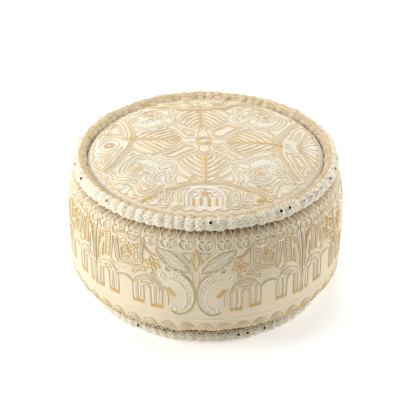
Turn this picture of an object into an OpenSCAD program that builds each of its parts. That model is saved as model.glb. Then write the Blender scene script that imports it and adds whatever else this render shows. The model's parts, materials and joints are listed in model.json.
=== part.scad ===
// Round embroidered floor pouf: a zipped cotton cover with a stuffed roll sewn round
// its top and bottom edges, a calico liner, and a firm core wrapped in wadding.
// Millimetres, +Z up, origin at the middle of the footprint on the floor.

/* [Body] */
// Widest diameter, across the bulge of the side band
body_d = 550; // [460:5:660]
// Height of the seat's crown above the floor
body_h = 303; // [240:1:380]
// Rise of the seat's crown above the crest of the top roll
crown_rise = 15; // [6:1:26]
// Thickness of the embroidered cover cloth
cloth = 1.2; // [0.8:0.1:1.6]

/* [Rolled edges] */
// Outer radius of the top roll
top_roll_r = 13.4; // [11:0.1:16.2]
// From the widest radius in to the centre of the top roll
top_roll_inset = 29; // [24:1:38]
// Outer radius of the bottom roll
bottom_roll_r = 13.4; // [11:0.1:16.2]
// From the widest radius in to the centre of the bottom roll
bottom_roll_inset = 44; // [36:1:54]
// How much the body's weight flattens the bottom roll
foot_flat = 1.5; // [1:0.1:2.5]
// Width of the seam allowances lapped inside each roll
seam_allowance = 13; // [10:1:16]
// Thread ties that pinch each roll
roll_ties = 84; // [48:4:96]

/* [Base and zip] */
// Height of the base panel above the floor
base_z = 9; // [8.2:0.1:10]
// Bare tape left beyond each end of the toothed chain
tape_tail = 12; // [8:1:40]
// Pitch of the coil along one side of the chain
coil_pitch = 4; // [3:0.5:6]
// Width of one zip tape
tape_w = 16; // [12:1:20]
// Length of the slider's plates
slider_l = 16; // [12:1:20]
// Length of the pull tab from its hinge
pull_l = 28; // [20:1:36]

/* [Stuffing] */
// Thickness of the liner's calico
liner_t = 0.8; // [0.5:0.1:1.2]
// Thickness of the wadding beside the core, where it is thinnest
side_wadding = 20; // [8:1:60]
// Thickness of the wadding over the core, up to the liner's shoulder
top_wadding = 12; // [8:1:30]

/* [Hidden] */
$fn = 72;

// Clearances between neighbouring layers
lap = 0.2;          // between seam allowances sewn together
roll_gap = 0.8;     // between a roll and the cloth that tucks beside it
layer_gap = 0.3;    // between stuffing layers
liner_gap = 1.6;    // between the side band and the liner, for the seam tape
slide_gap = 0.4;    // round the zip slider

// Places of the two rolls in the cross-section
body_r = body_d / 2;
top_c = [body_r - top_roll_inset, body_h - crown_rise - top_roll_r];
bottom_c = [body_r - bottom_roll_inset, bottom_roll_r - foot_flat];

// The three laps of the top seam, from the roll's flange
seam_drop = 6;      // of the flange below the roll's centre
top_flange_z = top_c[1] - seam_drop;
panel_edge_r = top_c[0] - top_roll_r - roll_gap;
panel_hem_z = top_flange_z + cloth + lap;
band_hem_z = top_flange_z - lap;
top_hem_r = panel_edge_r - seam_allowance;

// The three laps of the bottom seam, from the base panel up
base_edge_r = bottom_c[0] - bottom_roll_r - roll_gap;
bottom_flange_z = base_z + cloth + lap;
low_hem_z = bottom_flange_z + cloth + lap;
bottom_hem_r = base_edge_r - seam_allowance;

// ---- outlines as paths, with the inside of the pouf on the right-hand side ----
function unit(v) = v / norm(v);
function right_of(d) = [d[1], -d[0]];
function along(a, b) = right_of(unit(b - a));
function corner(p, i) =
    let (last = len(p) - 1,
         a = along(p[max(i, 1) - 1], p[max(i, 1)]),
         b = along(p[min(i, last - 1)], p[min(i, last - 1) + 1]))
    (a + b) / (1 + a * b);
function inset(p, d) = [for (i = [0 : len(p) - 1])
    let (q = p[i] + d * corner(p, i)) [max(0, q[0]), q[1]]];
function reversed(p) = [for (i = [len(p) - 1 : -1 : 0]) p[i]];
function part_of(p, a, b) = [for (i = [a : b]) p[i]];
// A sheet between two depths below a path, and only from point a to point b of it
function sheet(p, near, far, a, b) =
    concat(part_of(inset(p, near), a, b), reversed(part_of(inset(p, far), a, b)));

// Crown of the seat: flat in the middle and steep beside the roll
crown_power = 3;
crown_steps = 14;
panel_top_z = panel_hem_z + 2 * cloth;
function crown_z(r) = panel_top_z
    + (body_h - panel_top_z) * sqrt(max(0, 1 - pow(r / panel_edge_r, crown_power)));
function crown_point(s) = [panel_edge_r * s, crown_z(panel_edge_r * s)];
crown_path = [for (i = [0 : crown_steps]) crown_point(sin(90 * i / crown_steps))];

// Side band, from t = 0 at the bottom roll to 1 at the top roll: a well-filled drum,
// nearly upright low down and rounded in to the top roll
barrel_low = [bottom_c[0] + 3, bottom_c[1] + bottom_roll_r + 1];
barrel_high = [top_c[0] + 3, top_c[1] - top_roll_r - 1.5];
foot_power = 7;     // higher for a squarer foot
shoulder_power = 2.6;   // and for a squarer shoulder
function barrel(t) =
    let (end = t > 0.5 ? barrel_high : barrel_low, power = t > 0.5 ? shoulder_power : foot_power)
    [end[0] + (body_r - end[0]) * sqrt(max(0, 1 - pow(abs(2 * t - 1), power))),
     barrel_low[1] + (barrel_high[1] - barrel_low[1]) * t];
barrel_steps = 26;
barrel_end = 0.04;  // share of the height left to each tuck
function barrel_path(skip) = [for (i = [0 : barrel_steps])
    barrel(1 - skip - (1 - 2 * skip) * i / barrel_steps)];

// Cloth tucked round a roll, at a tube angle
function beside(c, r, a) = c + (r + roll_gap) * [cos(a), sin(a)];

top_panel_path = concat(crown_path, [[panel_edge_r, panel_hem_z], [top_hem_r, panel_hem_z]]);
band_path = concat(
    [[top_hem_r, band_hem_z], [panel_edge_r - 2, band_hem_z]],
    [for (a = [216 : 16 : 280]) beside(top_c, top_roll_r, a)],
    barrel_path(barrel_end),
    [for (a = [76 : 17 : 161]) beside(bottom_c, bottom_roll_r, a)],
    [[base_edge_r - 1, low_hem_z], [bottom_hem_r, low_hem_z]]);

// Liner bag: it stays inside the lapped seams
liner_shoulder_r = top_hem_r - 2;
liner_foot_r = bottom_hem_r - 2;
liner_crown_steps = 10;
liner_crown = inset([for (i = [0 : liner_crown_steps])
    crown_point(liner_shoulder_r / panel_edge_r * i / liner_crown_steps)], cloth + layer_gap);
liner_barrel = inset(barrel_path(0.08), cloth + liner_gap);
liner_base_z = base_z + cloth + layer_gap;
liner_path = concat(
    part_of(liner_crown, 0, liner_crown_steps),
    [[liner_shoulder_r, band_hem_z - cloth - 3], [top_c[0] - 6, top_c[1] - top_roll_r - 9]],
    liner_barrel,
    [beside(bottom_c, bottom_roll_r + 6, 135), [liner_foot_r, low_hem_z + 6],
     [liner_foot_r, liner_base_z], [0, liner_base_z]]);
liner_seam_top = liner_crown_steps;
liner_seam_base = len(liner_path) - 2;
stuffing_path = inset(liner_path, liner_t + layer_gap);

// Heights inside the stuffing
core_top_z = band_hem_z - cloth - 3 - top_wadding;
core_bottom_z = bottom_c[1] + bottom_roll_r + 6;
core_r = beside(bottom_c, bottom_roll_r + 6, 135)[0] - liner_t - layer_gap - side_wadding;

// Zip, from the outside plate of the slider up
tape_t = 0.7;
tape_z = base_z + cloth + 0.1;
slot_half = 0.7;                    // half of the gap that the slider's post runs in
coil_w = 3;                         // reach of one side of the coil
coil_t = 2.4;
window_half = 6.5;                  // half width of the opening between the base panels
plate_t = 1.2;
plate_half = 5;
slider_low_z = tape_z - coil_t - slide_gap - plate_t;
slider_high_z = tape_z + tape_t + slide_gap + 1;
channel_half = slot_half + tape_w + 2;
channel_end_r = liner_foot_r - 2 * liner_t - 0.5;   // the liner's channel ends on this circle
tape_half = sqrt(pow(channel_end_r, 2) - pow(channel_half, 2)) - 0.5;
chain_half = tape_half - tape_tail; // half length of the toothed chain
channel_z = slider_high_z + slide_gap;
stop_l = 4;
slider_x = chain_half - stop_l - slider_l / 2 - 0.5;   // parked at the closed end
pin_r = 0.8;
knuckle_r = 1.7;
knuckle_half = 2.3;
ear_t = 1;
pin_z = slider_low_z - knuckle_r - 0.2;
pin_x = slider_x;
pull_t = 1.2;

// ---- helpers ----
module spin(points) { rotate_extrude() polygon(points); }

// The tube of a roll: true circles, with the foot cut flat at the floor
module tube(c, r) {
    rotate_extrude() intersection() {
        translate(c) circle(r);
        translate([0, 0]) square([2 * body_r, body_h]);
    }
}

module stuffing() { spin(concat(stuffing_path, [[0, body_h - cloth - 1.4 - liner_t - layer_gap]])); }

// Short pegs of thread standing in a ring
module thread_ring(r, z0, z1, n, thread = 0.5) {
    for (i = [0 : n - 1]) rotate([0, 0, 360 / n * (i + 0.5)]) translate([r, 0, z0])
        cylinder(r = thread, h = z1 - z0, $fn = 16);
}

// Threads tied over a roll, from tube angle a0 to a1
module ties(c, r, a0, a1, thread = 0.6) {
    for (i = [0 : roll_ties - 1]) rotate([0, 0, 360 / roll_ties * i])
        translate([c[0], 0, c[1]]) rotate([90, 0, 0]) rotate([0, 0, a0])
        rotate_extrude(angle = a1 - a0, $fn = 48) translate([r + thread + 0.05, 0])
        circle(thread, $fn = 16);
}

// Little round mirrors on the outside of a roll, midway between ties
module mirrors(c, r, places, tilt) {
    step = 360 / roll_ties;
    for (k = places) rotate([0, 0, step * (k + 0.5)]) translate([c[0], 0, c[1]])
        rotate([0, 90 - tilt, 0]) translate([0, 0, r + 0.1]) cylinder(r = 3, h = 0.8, $fn = 32);
}

// A line of chain stitch round the pouf, resting on a path's point
module stitched_ring(p, n, thread = 0.9) {
    rotate_extrude() translate(p - (thread + 0.05) * n) circle(thread, $fn = 20);
}

// ---- cover ----
module top_panel() {
    color("cornsilk") spin(sheet(top_panel_path, 0, cloth, 0, len(top_panel_path) - 1));
}

side_slit = 0.25;   // degrees between the band's two sewn ends
module side_band() {
    color("cornsilk") rotate([0, 0, 90 + side_slit / 2]) rotate_extrude(angle = 360 - side_slit)
        polygon(sheet(band_path, 0, cloth, 0, len(band_path) - 1));
}

seam_tape_angle = 5;
tape_gap = 0.4;     // more than the sag of a facet, so the tape lies clear of the band
module side_seam_tape() {
    p = barrel_path(0.08);
    color("wheat") rotate([0, 0, 90 - seam_tape_angle / 2])
        rotate_extrude(angle = seam_tape_angle)
        polygon(sheet(p, cloth + tape_gap, cloth + tape_gap + 0.8, 0, barrel_steps));
}

module side_seam_stitches() {
    color("white") for (t = [0.16 : 0.04 : 0.84], side = [-1, 1])
        rotate([0, 0, 90 + 1.2 * side]) translate([barrel(t)[0] - cloth - tape_gap - 0.95, 0, barrel(t)[1]])
        rotate([0, 90, 0]) cylinder(r = 0.4, h = cloth + tape_gap + 1.15, $fn = 16);
}

module base_panel(side) {
    color("ivory") difference() {
        translate([0, 0, base_z]) cylinder(r = base_edge_r, h = cloth);
        translate([-body_r, side > 0 ? -body_d + 0.1 : -0.1, 0]) cube([body_d, body_d, 4 * base_z]);
        translate([-tape_half, -window_half, 0]) cube([2 * tape_half, 2 * window_half, 4 * base_z]);
    }
}
module base_panel_front() { base_panel(-1); }
module base_panel_back() { base_panel(1); }

// ---- rolled edges ----
// A sewn tube of cloth with a flat flange that is lapped into the seam
module roll_cover(c, r, flange_r, flange_z) {
    wall_in = r - cloth;
    flange_end = c[0] - sqrt(pow(r - cloth / 2, 2) - pow(flange_z + cloth / 2 - c[1], 2));
    rotate_extrude() difference() {
        union() {
            intersection() {
                translate(c) circle(r);
                square([2 * body_r, body_h]);
            }
            translate([flange_r, flange_z]) square([flange_end - flange_r, cloth]);
        }
        intersection() {
            translate(c) circle(wall_in);
            translate([0, cloth]) square([2 * body_r, body_h]);
        }
    }
}
module roll_wadding(c, r) {
    rotate_extrude() intersection() {
        translate(c) circle(r - cloth - layer_gap);
        translate([0, cloth + layer_gap]) square([2 * body_r, body_h]);
    }
}
module top_roll_cover() {
    color("antiquewhite") roll_cover(top_c, top_roll_r, top_hem_r, top_flange_z);
}
module bottom_roll_cover() {
    color("antiquewhite") roll_cover(bottom_c, bottom_roll_r, bottom_hem_r, bottom_flange_z);
}
module top_roll_wadding() { color("white") roll_wadding(top_c, top_roll_r); }
module bottom_roll_wadding() { color("white") roll_wadding(bottom_c, bottom_roll_r); }
module top_roll_ties() { color("ghostwhite") ties(top_c, top_roll_r, -58, 148); }
module bottom_roll_ties() { color("ghostwhite") ties(bottom_c, bottom_roll_r, -42, 58); }

module top_seam_stitches() {
    color("white") thread_ring(top_hem_r + seam_allowance / 2,
        band_hem_z - cloth - 0.4, panel_hem_z + cloth + 0.4, 72);
}
module bottom_seam_stitches() {
    color("white") thread_ring(bottom_hem_r + seam_allowance / 2,
        base_z - 0.4, low_hem_z + cloth + 0.4, 72);
}

top_mirror_places = [3, 5, 8, 13, 22, 26, 34, 39, 44, 47, 52, 63, 70, 71, 73, 74, 75, 76, 78, 80, 82];
bottom_mirror_places = [6, 17, 28, 41, 55, 66, 67, 69, 77];
module top_mirrors() { color("lightsteelblue") mirrors(top_c, top_roll_r, top_mirror_places, 38); }
module bottom_mirrors() {
    color("lightsteelblue") mirrors(bottom_c, bottom_roll_r, bottom_mirror_places, 12);
}

// ---- embroidery: the long lines that the motifs hang from ----
eye_r = 13;
frame_r = 0.62 * panel_edge_r;
stem_degrees = 1;
module seat_embroidery() {
    color("goldenrod") {
        for (r = [eye_r, frame_r, frame_r + 7, 0.9 * panel_edge_r]) {
            a = [r - 1, crown_z(r - 1)];
            b = [r + 1, crown_z(r + 1)];
            stitched_ring([r, crown_z(r)], along(a, b));
        }
        path = [for (i = [0 : 8])
            let (r = 2 * eye_r + (frame_r - 3 * eye_r) * i / 8) [r, crown_z(r)]];
        for (k = [0 : 3]) rotate([0, 0, 90 * k - stem_degrees / 2])
            rotate_extrude(angle = stem_degrees) polygon(sheet(path, -1.8, -0.1, 0, 8));
    }
}

// One stitched loop lying on the side band at height t, with its middle at the given angle
module band_loop(t, turn, loop_r, sweep, thread = 0.8) {
    slope = barrel(t + 0.02) - barrel(t - 0.02);
    rotate([0, 0, turn]) translate([barrel(t)[0], 0, barrel(t)[1]])
        rotate([0, atan2(slope[0], slope[1]), 0]) translate([thread + 0.05, 0, 0])
        rotate([90, 0, 90]) rotate_extrude(angle = sweep, $fn = 48)
        translate([loop_r, 0]) circle(thread, $fn = 16);
}

// The borders: nested arches along the foot and two-lobed leaves along the shoulder
border_repeats = 44;
module side_embroidery() {
    color("goldenrod") for (i = [0 : border_repeats - 1]) {
        turn = 360 / border_repeats * i;
        for (arch_r = [14, 9]) band_loop(0.17, turn, arch_r, 180);
        band_loop(0.83, turn, 9, 360);
        band_loop(0.75, turn, 7, 360);
    }
}

// ---- zip across the base ----
module zip_tape(side) {
    color("beige") translate([-tape_half, side > 0 ? slot_half : -slot_half - tape_w, tape_z])
        cube([2 * tape_half, tape_w, tape_t]);
}
module zip_tape_front() { zip_tape(-1); }
module zip_tape_back() { zip_tape(1); }

// One side of the coil: loops on a common core, a loop every pitch
module zip_coil(side) {
    half = chain_half - stop_l - 0.4;
    loops = floor(2 * half / coil_pitch);
    loop_w = 0.6 * coil_pitch;
    shift = side > 0 ? 0 : coil_pitch / 2;
    outline = concat(
        [[-half, slot_half + coil_w], [-half, slot_half + coil_w / 2]],
        [for (i = [0 : loops - 2]) let (x = -half + 0.5 + shift / 2 + i * coil_pitch)
            each [[x, slot_half + coil_w / 2], [x + loop_w * 0.2, slot_half],
                  [x + loop_w * 0.8, slot_half], [x + loop_w, slot_half + coil_w / 2]]],
        [[half, slot_half + coil_w / 2], [half, slot_half + coil_w]]);
    color("burlywood") mirror([0, side > 0 ? 0 : 1, 0]) translate([0, 0, tape_z - coil_t])
        linear_extrude(coil_t) polygon(outline);
}
module zip_coil_front() { zip_coil(-1); }
module zip_coil_back() { zip_coil(1); }

module zip_tape_stitches() {
    reach = 2 * tape_half - 20;
    count = 40;
    color("white") for (side = [-1, 1], i = [0 : count])
        translate([-reach / 2 + reach * i / count, side * (window_half + 3), base_z - 0.3])
        cylinder(r = 0.4, h = tape_z + tape_t - base_z + 0.55, $fn = 16);
}

// Clamps at the closed end, one on each tape, and one across both at the other end
module zip_end_stops() {
    color("silver") for (side = [-1, 1])
        translate([chain_half - stop_l, side > 0 ? slot_half : -slot_half - coil_w, tape_z - coil_t])
        cube([stop_l, coil_w, coil_t]);
}
module zip_bottom_stop() {
    color("silver") translate([-chain_half, -slot_half - coil_w, tape_z - coil_t])
        cube([stop_l, 2 * (slot_half + coil_w), coil_t]);
}

// Two plates joined by a post that runs in the slot, and the ears and pin of the pull
module zip_slider() {
    color("silver") {
        translate([slider_x - slider_l / 2, -plate_half, slider_low_z])
            cube([slider_l, 2 * plate_half, plate_t]);
        translate([slider_x - slider_l / 2, -plate_half, slider_high_z - 1])
            cube([slider_l, 2 * plate_half, 1]);
        translate([slider_x - 2, -slot_half + 0.25, slider_low_z])
            cube([4, 2 * slot_half - 0.5, slider_high_z - slider_low_z]);
        for (side = [-1, 1]) translate([pin_x - knuckle_r,
            side > 0 ? knuckle_half + 0.3 : -knuckle_half - 0.3 - ear_t, pin_z - knuckle_r + 0.3])
            cube([2 * knuckle_r, ear_t, slider_low_z - pin_z + knuckle_r - 0.2]);
        translate([pin_x, -knuckle_half - 0.3 - ear_t, pin_z]) rotate([-90, 0, 0])
            cylinder(r = pin_r, h = 2 * (knuckle_half + 0.3 + ear_t));
    }
}

module zip_pull() {
    grip_r = 4;
    color("silver") difference() {
        union() {
            translate([pin_x, -knuckle_half, pin_z]) rotate([-90, 0, 0])
                cylinder(r = knuckle_r, h = 2 * knuckle_half);
            translate([pin_x - pull_l + grip_r, -knuckle_half, pin_z - pull_t / 2])
                cube([pull_l - grip_r, 2 * knuckle_half, pull_t]);
            translate([pin_x - pull_l + grip_r, 0, pin_z - pull_t / 2])
                cylinder(r = grip_r, h = pull_t);
        }
        translate([pin_x, -knuckle_half - 1, pin_z]) rotate([-90, 0, 0])
            cylinder(r = pin_r + 0.08, h = 2 * knuckle_half + 2);
        translate([pin_x - pull_l + grip_r, 0, pin_z - pull_t]) cylinder(r = 1.6, h = 2 * pull_t);
    }
}

// ---- liner and stuffing ----
module liner_top() { color("linen") spin(sheet(liner_path, 0, liner_t, 0, liner_seam_top)); }
module liner_side() {
    color("linen") spin(sheet(liner_path, 0, liner_t, liner_seam_top, liner_seam_base));
}

// A channel in the liner's base clears the zip and its slider
module zip_channel(extra) {
    half = tape_half + 1 - extra;
    translate([-half - extra, -channel_half - extra, 0])
        cube([2 * (half + extra), 2 * (channel_half + extra), channel_z + extra]);
}
module liner_base() {
    last = len(liner_path) - 1;
    color("linen") difference() {
        union() {
            spin(sheet(liner_path, 0, liner_t, liner_seam_base, last));
            translate([0, 0, liner_base_z]) intersection() {
                translate([0, 0, -liner_base_z]) zip_channel(liner_t);
                cylinder(r = channel_end_r + liner_t, h = body_h);
            }
        }
        intersection() {
            zip_channel(0);
            cylinder(r = channel_end_r, h = body_h);
        }
    }
}

module core_block() {
    color("lightyellow") translate([0, 0, core_bottom_z])
        cylinder(r = core_r, h = core_top_z - core_bottom_z);
}
module top_wadding_pad() {
    color("white") intersection() {
        stuffing();
        translate([0, 0, core_top_z + layer_gap]) cylinder(r = body_d, h = body_h);
    }
}
module side_wadding_wrap() {
    color("white") difference() {
        intersection() {
            stuffing();
            translate([0, 0, core_bottom_z]) cylinder(r = body_d, h = core_top_z - core_bottom_z);
        }
        cylinder(r = core_r + layer_gap, h = body_d);
    }
}
module base_wadding_pad() {
    color("white") difference() {
        intersection() {
            stuffing();
            cylinder(r = body_d, h = core_bottom_z - layer_gap);
        }
        zip_channel(liner_t + layer_gap);
    }
}

top_panel();
side_band();
side_seam_tape();
side_seam_stitches();
base_panel_front();
base_panel_back();
top_roll_cover();
top_roll_wadding();
top_roll_ties();
top_seam_stitches();
bottom_roll_cover();
bottom_roll_wadding();
bottom_roll_ties();
bottom_seam_stitches();
top_mirrors();
bottom_mirrors();
seat_embroidery();
side_embroidery();
zip_tape_front();
zip_tape_back();
zip_coil_front();
zip_coil_back();
zip_tape_stitches();
zip_end_stops();
zip_bottom_stop();
zip_slider();
zip_pull();
liner_top();
liner_side();
liner_base();
top_wadding_pad();
side_wadding_wrap();
base_wadding_pad();
core_block();
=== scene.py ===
# %% [markdown]
# # A round embroidered floor pouf
# The pouf is a cotton cover over a soft drum: a domed seat, an upright side band, a stuffed
# roll sewn round each edge, and a flat base that closes with a zip. The seat and the band
# are worked all over in chain stitch, in mustard, khaki and white thread.
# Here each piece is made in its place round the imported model, which gives every size.

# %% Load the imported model
import json
from math import atan2, cos, exp, hypot, pi, radians, sin, sqrt

import bmesh
import bpy
import numpy as np
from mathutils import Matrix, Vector, noise
from mathutils.bvhtree import BVHTree
from mathutils.kdtree import KDTree

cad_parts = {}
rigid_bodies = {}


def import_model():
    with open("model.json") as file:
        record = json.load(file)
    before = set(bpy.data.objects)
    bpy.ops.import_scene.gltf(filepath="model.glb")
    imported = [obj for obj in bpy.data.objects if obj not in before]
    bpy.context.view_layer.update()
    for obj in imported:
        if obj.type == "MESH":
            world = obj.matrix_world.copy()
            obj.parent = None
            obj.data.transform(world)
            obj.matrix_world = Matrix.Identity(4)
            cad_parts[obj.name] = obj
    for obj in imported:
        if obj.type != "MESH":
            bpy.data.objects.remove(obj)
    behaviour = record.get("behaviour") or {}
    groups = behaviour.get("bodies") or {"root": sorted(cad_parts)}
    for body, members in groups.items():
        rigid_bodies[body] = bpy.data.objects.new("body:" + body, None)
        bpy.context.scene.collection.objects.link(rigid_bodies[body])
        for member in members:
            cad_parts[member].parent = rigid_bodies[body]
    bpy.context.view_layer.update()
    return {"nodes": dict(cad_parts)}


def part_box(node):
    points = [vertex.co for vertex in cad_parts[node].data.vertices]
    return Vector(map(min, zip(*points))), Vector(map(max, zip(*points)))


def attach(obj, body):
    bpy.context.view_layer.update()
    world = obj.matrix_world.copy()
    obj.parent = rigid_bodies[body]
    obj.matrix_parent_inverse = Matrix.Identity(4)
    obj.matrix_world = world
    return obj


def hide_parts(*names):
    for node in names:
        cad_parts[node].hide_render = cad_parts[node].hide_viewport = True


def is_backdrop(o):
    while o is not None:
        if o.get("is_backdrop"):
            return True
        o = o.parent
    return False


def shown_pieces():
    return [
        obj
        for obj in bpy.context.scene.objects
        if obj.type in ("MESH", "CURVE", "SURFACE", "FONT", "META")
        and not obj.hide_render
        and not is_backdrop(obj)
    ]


for spare in list(bpy.data.objects):
    bpy.data.objects.remove(spare)
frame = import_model()
scene = bpy.context.scene

# %% [markdown]
# ## Sizes
# A cover maker measures the stuffed body first: its widest radius, the height of the crown,
# and the line that runs along the middle of each roll. All of them come from the boxes of
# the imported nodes, and are kept in millimetres because a needleworker thinks in them.

# %% Measure the body
MM = 0.001


def span(node):
    low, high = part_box(node)
    return low / MM, high / MM


body_r = span("side_band")[1].x
crown = span("top_panel")[1].z
roll_r = (span("top_roll_cover")[1].z - span("top_roll_cover")[0].z) / 2
top_ring = (span("top_roll_cover")[1].x - roll_r, span("top_roll_cover")[1].z - roll_r)
low_ring = (span("bottom_roll_cover")[1].x - roll_r, span("bottom_roll_cover")[1].z - roll_r)
seat_r = top_ring[0] - roll_r - 0.8
core_side = span("core_block")[1].x
ties = 84
print(f"body {body_r:.1f}, crown {crown:.1f}, rolls at {top_ring} and {low_ring}, seat {seat_r:.1f}")

# %% [markdown]
# ## Shared helpers
# Almost every piece is round, so one helper turns an outline round the middle with the spin
# operator and merges the closing seam, and another lays the cloth's own UV map in metres,
# which keeps the weave the same size everywhere.

# %% Turn an outline into a piece
def add_object(name, data):
    thing = bpy.data.objects.new(name, data)
    scene.collection.objects.link(thing)
    return thing


def finished_mesh(piece):
    return bpy.data.meshes.new_from_object(piece.evaluated_get(bpy.context.evaluated_depsgraph_get()))


def settle(bm, name, outward=None):
    """Finishes a mesh: merges doubles, faces it outwards, and puts it in the scene."""
    bmesh.ops.remove_doubles(bm, verts=bm.verts, dist=0.00001)
    bmesh.ops.recalc_face_normals(bm, faces=bm.faces)
    if outward and sum(f.normal.dot(outward(f.calc_center_median())) * f.calc_area()
                       for f in bm.faces) < 0:
        bmesh.ops.reverse_faces(bm, faces=bm.faces)
    for face in bm.faces:
        face.smooth = True
    mesh = bpy.data.meshes.new(name)
    bm.to_mesh(mesh)
    bm.free()
    return add_object(name, mesh)


def sideways(point):
    return Vector((point.x, point.y, 0))


def from_ring(ring):
    """The direction out of a roll's tube, from the circle along its middle."""
    def outward(c):
        return c - sideways(c).normalized() * ring[0] * MM - Vector((0, 0, ring[1] * MM))
    return outward


def revolve(name, outline, steps, outward, closed=False):
    """Spins an outline of (radius, height) points, in mm, once round the middle."""
    bm = bmesh.new()
    points = [bm.verts.new((r * MM, 0, z * MM)) for r, z in outline]
    ends = points[1:] + points[:1] if closed else points[1:]
    edges = [bm.edges.new(pair) for pair in zip(points, ends)]
    bmesh.ops.spin(bm, geom=points + edges, cent=(0, 0, 0), axis=(0, 0, 1), angle=2 * pi,
                   steps=steps, use_merge=True)
    return settle(bm, name, outward)


def lay_uv(piece, across):
    """UVs in metres: the distance round the pouf and the distance across the strip."""
    mesh = piece.data
    uv = mesh.uv_layers.new(name="cloth")
    for face in mesh.polygons:
        turn = atan2(face.center.y, face.center.x)
        for loop in face.loop_indices:
            x, y, z = mesh.vertices[mesh.loops[loop].vertex_index].co
            own = turn + (atan2(y, x) - turn + pi) % (2 * pi) - pi
            uv.data[loop].uv = across(x, y, z, own)


def read(mesh):
    points = np.zeros(len(mesh.vertices) * 3)
    mesh.vertices.foreach_get("co", points)
    return points.reshape(-1, 3)


def step_of(points, count):
    """Which of a spun piece's steps each point stands on."""
    return np.round(np.arctan2(points[:, 1], points[:, 0]) / (2 * pi / count)).astype(int) % count


def write(mesh, points):
    mesh.vertices.foreach_set("co", points.astype(np.float32).ravel())
    mesh.update()


# %% [markdown]
# ## Letting the cloth settle
# Sewn cloth is a little longer than the seam that holds it, so it swells between the ties.
# The Cloth simulation finds that shape: the cloth gets some slack and a light pressure, and
# is pinned where it is sewn. Only its wrinkles are kept, so that the pouf keeps its size.

# %% Crumple a piece between its ties
slide_cap = 0.0015      # the furthest that cloth may creep along itself


def crumple(piece, pinned, slack, pressure, frames, proud, sunk, stiff=15.0, bend=0.5):
    """Settles a piece; it ends at most proud mm out of its cut shape and sunk mm into it."""
    cut = read(piece.data)
    group = piece.vertex_groups.new(name="sewn")
    group.add([int(i) for i in np.flatnonzero(pinned)], 1.0, "REPLACE")
    cloth = piece.modifiers.new("cloth", "CLOTH")
    how = cloth.settings
    how.quality, how.mass = 5, 0.3
    how.tension_stiffness = how.compression_stiffness = stiff
    how.bending_stiffness = bend
    how.use_pressure, how.uniform_pressure_force = True, pressure
    how.vertex_group_mass = "sewn"
    how.shrink_min = -slack
    how.effector_weights.gravity = 0
    cloth.point_cache.frame_end = frames
    for number in range(1, frames + 1):
        scene.frame_set(number)
    settled = read(piece.evaluated_get(bpy.context.evaluated_depsgraph_get()).data)
    piece.modifiers.clear()
    piece.vertex_groups.clear()
    move = settled - cut
    reach = np.hypot(cut[:, 0], cut[:, 1])
    away = np.column_stack([cut[:, 0], cut[:, 1]]) / np.maximum(reach, 1e-6)[:, None]
    out = (move[:, :2] * away).sum(1)
    keys = np.round(np.column_stack([reach, cut[:, 2]]), 5)
    _, ring = np.unique(keys, axis=0, return_inverse=True)
    ring = ring.ravel()
    count = np.bincount(ring)
    out_mean = np.bincount(ring, out) / count
    up_mean = np.bincount(ring, move[:, 2]) / count
    move[:, :2] -= away * out_mean[ring][:, None]
    move[:, 2] -= up_mean[ring]
    normal = np.array([v.normal for v in piece.data.vertices])
    lift = (move * normal).sum(1)
    along = move - normal * lift[:, None]
    length = np.linalg.norm(along, axis=1)
    along *= (np.minimum(length, slide_cap) / np.maximum(length, 1e-9))[:, None]
    capped = np.clip(lift, -sunk * MM, proud * MM)
    write(piece.data, cut + along + normal * capped[:, None])
    low, high = lift.min() / MM, lift.max() / MM
    print(f"{piece.name}: wrinkles from {low:.1f} to {high:.1f} mm before the cap")


def refine(piece, levels=1):
    """Applies a subdivision, so that the embroidery can rest on the finished cloth."""
    smooth = piece.modifiers.new("smooth", "SUBSURF")
    smooth.levels = smooth.render_levels = levels
    fine = finished_mesh(piece)
    piece.modifiers.clear()
    old, piece.data = piece.data, fine
    name = old.name
    bpy.data.meshes.remove(old)
    fine.name = name


def swell(piece, size, depth, seed, reach=None):
    """Uneven stuffing: moves the cloth in and out by a slow noise, in mm."""
    points = read(piece.data)
    normal = np.array([v.normal for v in piece.data.vertices])
    push = np.array([noise.noise(Vector(p) / (size * MM) + Vector((seed, 0, 0))) for p in points])
    if reach is not None:
        push *= reach(points)
    write(piece.data, points + normal * (push * depth * MM)[:, None])


# %% [markdown]
# ## The seat
# The seat is one circle of cotton drawn over the filling, so it is nearly flat in the middle
# and turns down steeply beside the roll. A spun dome gives that shape. Its edge is sewn
# under the roll at every tie, and the cloth between two ties puffs up a little.

# %% Make the seat
steps = ties * 3


def crown_z(r):
    rim = top_ring[1] - 2.2
    return rim + (crown - rim) * sqrt(max(0, 1 - (r / seat_r) ** 3))


shares = [sin(radians(90 * i / 34)) for i in range(1, 35)]
seat_outline = [(0.02, crown)] + [(seat_r * s, crown_z(seat_r * s)) for s in shares]
seat_outline += [(seat_r - 1.5, top_ring[1] - 3.4), (seat_r - 8, top_ring[1] - 3.8)]
seat = revolve("cover_seat", seat_outline, steps, lambda c: Vector((0, 0, 1)))
place = read(seat.data)
reach = np.hypot(place[:, 0], place[:, 1])
step_no = step_of(place, steps)
edge = place[:, 2] < (top_ring[1] - 2.0) * MM
beside = np.abs(reach - (seat_r - 5) * MM) < 2.5 * MM
tie_rows = (step_no % 3 == 0) & beside & ~edge
crumple(seat, edge | tie_rows, 0.035, 1.5, 18, 2.6, 0.9)
swell(seat, 70, 1.6, 3.1,
      lambda p: np.clip((seat_r * MM - np.hypot(p[:, 0], p[:, 1])) / 0.03, 0, 1))
lay_uv(seat, lambda x, y, z, turn: (x, y))
refine(seat)
print("seat:", len(seat.data.vertices), "points")

# %% [markdown]
# ## The side band
# The band is a strip sewn into a hoop. It stands upright over most of its height and
# rounds in to each roll, where it is tucked in. Spinning its outline gives the hoop, and the
# simulation puckers both edges between the ties.

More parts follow.
